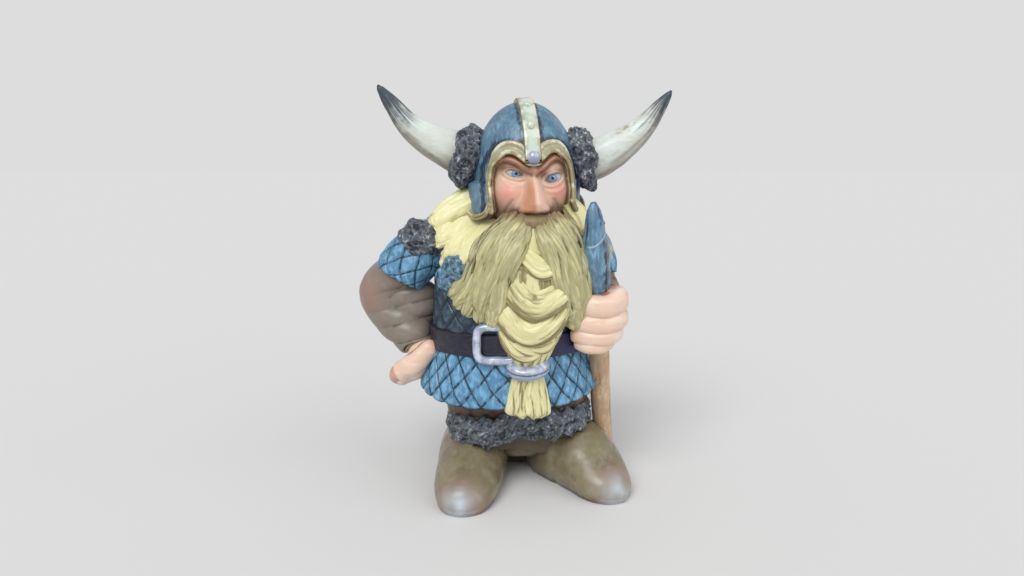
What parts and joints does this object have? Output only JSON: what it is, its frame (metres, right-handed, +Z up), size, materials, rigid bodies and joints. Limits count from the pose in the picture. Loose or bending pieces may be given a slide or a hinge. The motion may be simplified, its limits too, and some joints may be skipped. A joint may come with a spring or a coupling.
{
  "type": "viking warrior figurine",
  "caption": "Painted cast figurine of a stout bearded viking with a horned helmet, one hand on the hip and the other on a standing axe.",
  "frame": {"origin": "on the sole, in the middle of the web that joins the two heels", "axes": "+Z up, -Y the way the figure faces, +X towards the side of the axe"},
  "size_m": [0.1764, 0.1004, 0.2254],
  "materials": {
    "painted_resin": "hand-painted in satin acrylics with a dark wash in the grooves; blue, brown, straw yellow, ivory and flesh tones"
  },
  "bodies": {
    "root": {"viking_figure": "painted_resin"}
  },
  "joints": []
}
